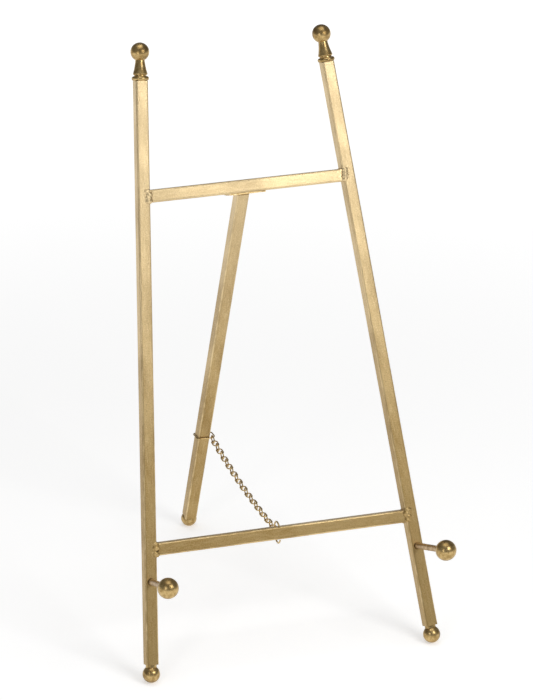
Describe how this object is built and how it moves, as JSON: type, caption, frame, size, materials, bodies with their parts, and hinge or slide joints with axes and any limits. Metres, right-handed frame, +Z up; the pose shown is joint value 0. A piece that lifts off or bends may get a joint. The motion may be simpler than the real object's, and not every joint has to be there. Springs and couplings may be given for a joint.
{
  "type": "display easel",
  "caption": "Tabletop display easel: leaning square-tube frame on ball feet with picture pegs, and a hinged back leg held open by a chain.",
  "frame": {"origin": "on the floor, in the middle of the easel's outline", "axes": "+Z up, +X to the viewer's right, -Y towards the viewer"},
  "size_m": [0.2944, 0.3756, 0.557],
  "materials": {
    "tube_gold": "brushed antique gold, satin",
    "ball_gold": "antique gold, semi-gloss",
    "rod_gold": "antique gold, semi-gloss",
    "weld_gold": "antique gold over weld",
    "hinge_gold": "antique gold, satin",
    "chain_gold": "aged brass wire"
  },
  "bodies": {
    "frame": {"left_leg": "tube_gold", "left_foot": "ball_gold", "left_finial": "ball_gold", "left_finial_collar": "ball_gold", "left_peg_rod": "rod_gold", "left_peg_ball": "ball_gold", "upper_left_weld": "weld_gold", "lower_left_weld": "weld_gold", "right_leg": "tube_gold", "right_foot": "ball_gold", "right_finial": "ball_gold", "right_finial_collar": "ball_gold", "right_peg_rod": "rod_gold", "right_peg_ball": "ball_gold", "upper_right_weld": "weld_gold", "lower_right_weld": "weld_gold", "upper_crossbar": "tube_gold", "lower_crossbar": "tube_gold", "hinge_fixed_leaf": "hinge_gold", "hinge_pin": "hinge_gold"},
    "back_leg": {"back_leg": "tube_gold", "back_foot": "ball_gold", "hinge_moving_leaf": "hinge_gold", "leg_ring": "chain_gold"},
    "chain_front": {"bar_ring": "chain_gold", "chain_link_01": "chain_gold", "chain_link_02": "chain_gold", "chain_link_03": "chain_gold", "chain_link_04": "chain_gold", "chain_link_05": "chain_gold", "chain_link_06": "chain_gold", "chain_link_07": "chain_gold", "chain_link_08": "chain_gold", "chain_link_09": "chain_gold", "chain_link_10": "chain_gold", "chain_link_11": "chain_gold", "chain_link_12": "chain_gold"},
    "chain_bend": {"chain_link_13": "chain_gold"},
    "chain_rear": {"chain_link_14": "chain_gold", "chain_link_15": "chain_gold", "chain_link_16": "chain_gold", "chain_link_17": "chain_gold", "chain_link_18": "chain_gold", "chain_link_19": "chain_gold", "chain_link_20": "chain_gold", "chain_link_21": "chain_gold", "chain_link_22": "chain_gold", "chain_link_23": "chain_gold", "chain_link_24": "chain_gold", "chain_link_25": "chain_gold", "chain_link_26": "chain_gold"}
  },
  "joints": [
    {"name": "leg_fold", "type": "hinge", "parent": "frame", "child": "back_leg", "pos_m": [0, 0.01907, 0.41481], "axis": [-1, 0, 0], "range_deg": [0, 39.78]},
    {"name": "chain_front_swing", "type": "hinge", "parent": "frame", "child": "chain_front", "pos_m": [-0.0028, -0.09864, 0.11626], "axis": [-0.9794, -0.1278, 0.1567], "range_deg": [0, 105.63]},
    {"name": "chain_bend_swing", "type": "hinge", "parent": "chain_front", "child": "chain_bend", "pos_m": [0.0023, 0.01408, 0.11069], "axis": [-0.1894, 0.0526, -0.9805], "range_deg": [0, 113.46], "deforming": ["chain_link_13"]},
    {"name": "chain_rear_swing", "type": "hinge", "parent": "back_leg", "child": "chain_rear", "pos_m": [0.0076, 0.1312, 0.11506], "axis": [0.9988, -0.0304, 0.0397], "range_deg": [0, 104.86]}
  ],
  "couplings": [
    {"joint": "chain_front_swing", "follows": "leg_fold", "ratio": 2.6551},
    {"joint": "chain_bend_swing", "follows": "leg_fold", "ratio": 2.8521},
    {"joint": "chain_rear_swing", "follows": "leg_fold", "ratio": 2.6359}
  ]
}
